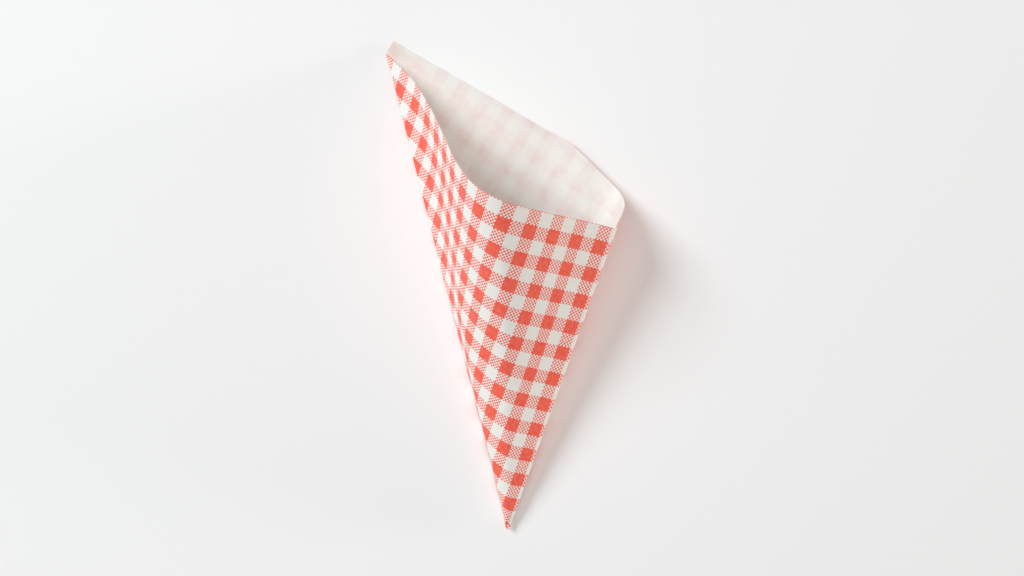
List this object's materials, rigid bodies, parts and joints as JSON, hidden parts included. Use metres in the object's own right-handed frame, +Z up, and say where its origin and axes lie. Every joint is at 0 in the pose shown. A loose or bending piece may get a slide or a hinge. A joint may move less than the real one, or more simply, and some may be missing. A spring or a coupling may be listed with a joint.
{
  "type": "paper fries bag",
  "caption": "Pointed paper bag for fries, a folded and glued sheet with a checked print, lying on its back with its slanted mouth pushed open and the back standing past the front.",
  "frame": {"origin": "middle of the bounding box, on the table that the back lies on", "axes": "+Y from the tip towards the mouth, +Z up from the table, +X towards the glued right edge"},
  "size_m": [0.138, 0.2862, 0.0815],
  "materials": {
    "printed_paper": "matte greaseproof paper, red and white gingham outside, plain white inside"
  },
  "bodies": {
    "root": {"paper_bag": "printed_paper"}
  },
  "joints": []
}
